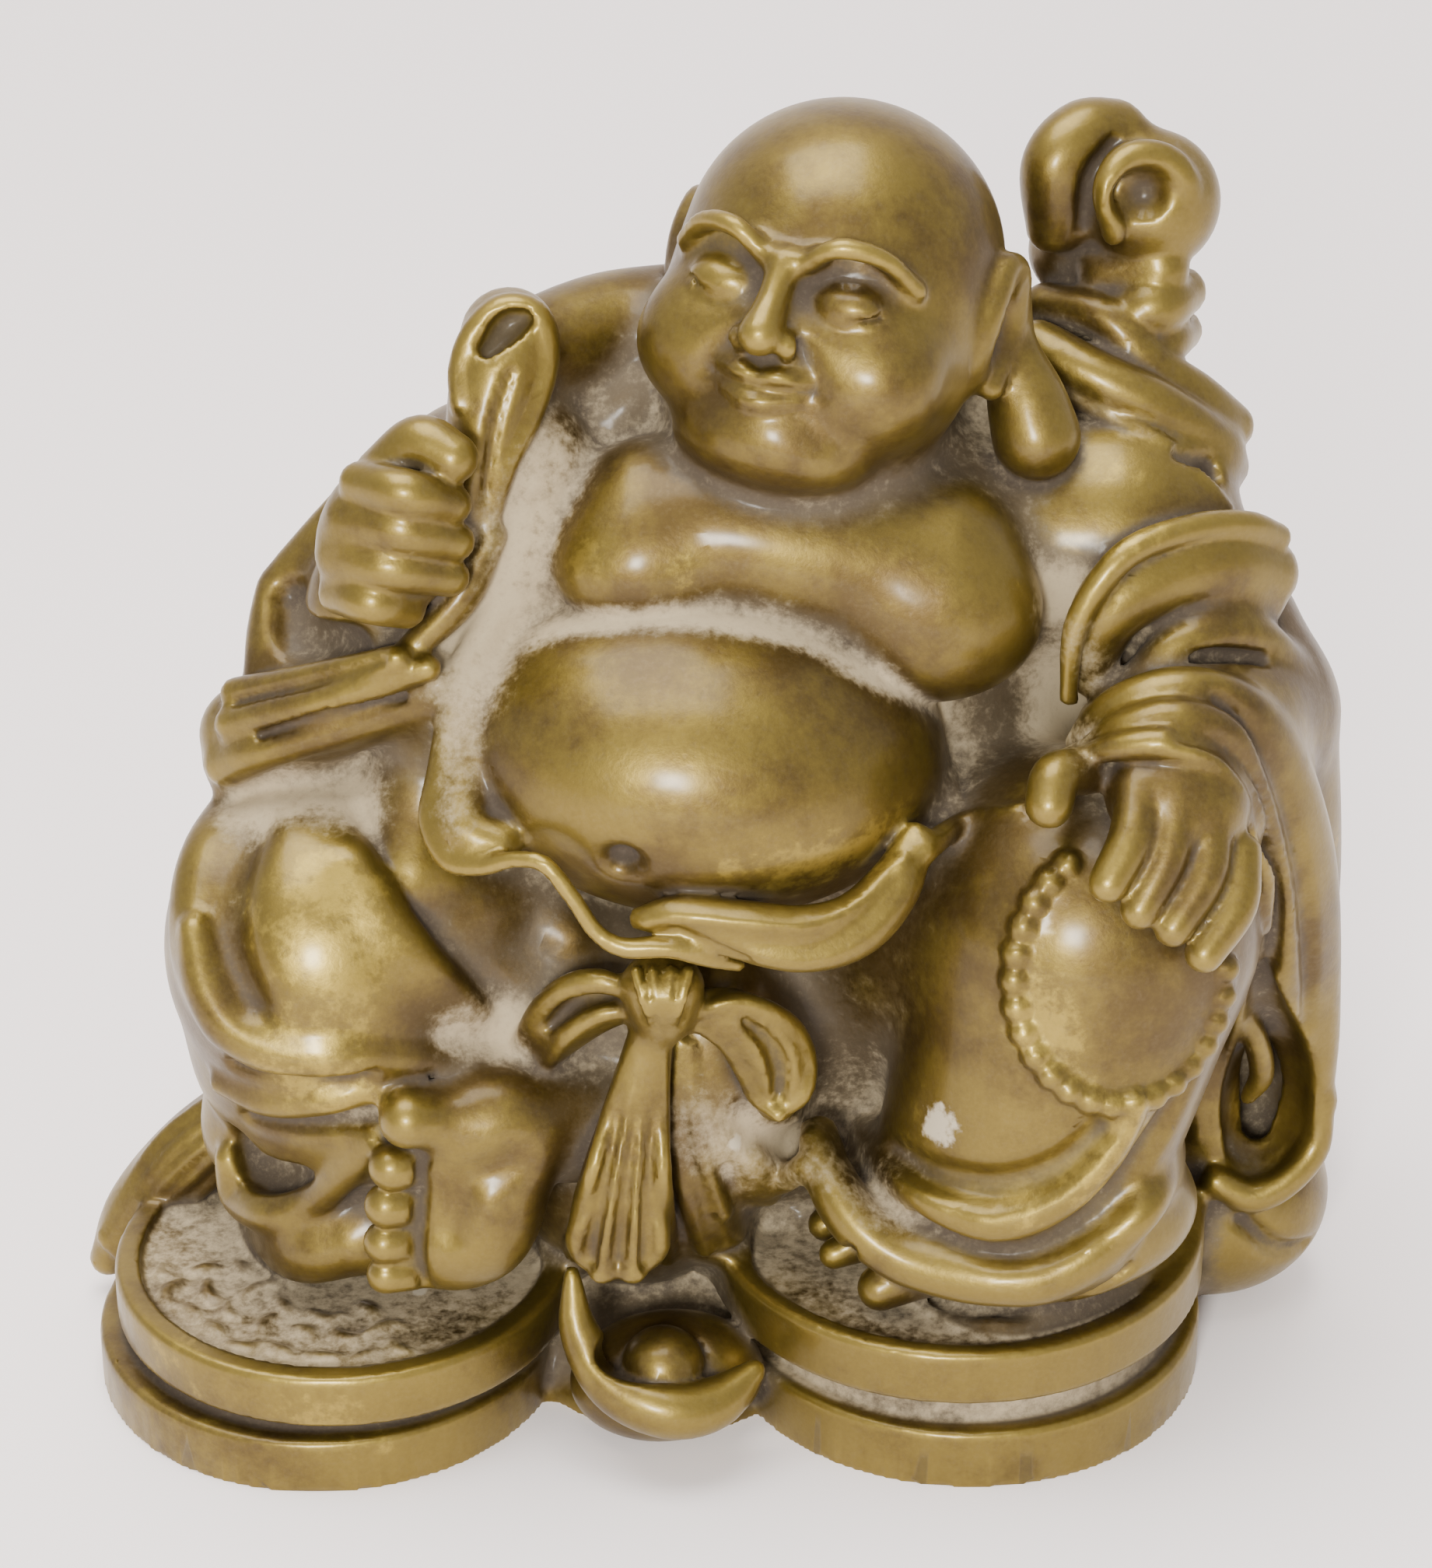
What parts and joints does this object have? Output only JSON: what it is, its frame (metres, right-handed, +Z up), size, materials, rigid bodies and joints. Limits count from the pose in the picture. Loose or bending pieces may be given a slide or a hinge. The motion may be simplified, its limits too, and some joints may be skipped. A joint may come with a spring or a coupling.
{
  "type": "seated hotei figure",
  "caption": "Seated bald, bare-bellied figure of luck with a sack over the shoulders, a loop of prayer beads, coins underfoot and an ingot, cast in one piece, standing on its flat underside.",
  "frame": {"origin": "middle of the bounding box, on the flat underside", "axes": "+Z up; the figure faces the viewer along -Y, and +X runs to the viewer's right"},
  "size_m": [0.1596, 0.1026, 0.1592],
  "materials": {
    "brass": "cast and toned, worn bright on the high places, dull and dusty in the folds"
  },
  "bodies": {
    "root": {"seated_figure": "brass"}
  },
  "joints": []
}
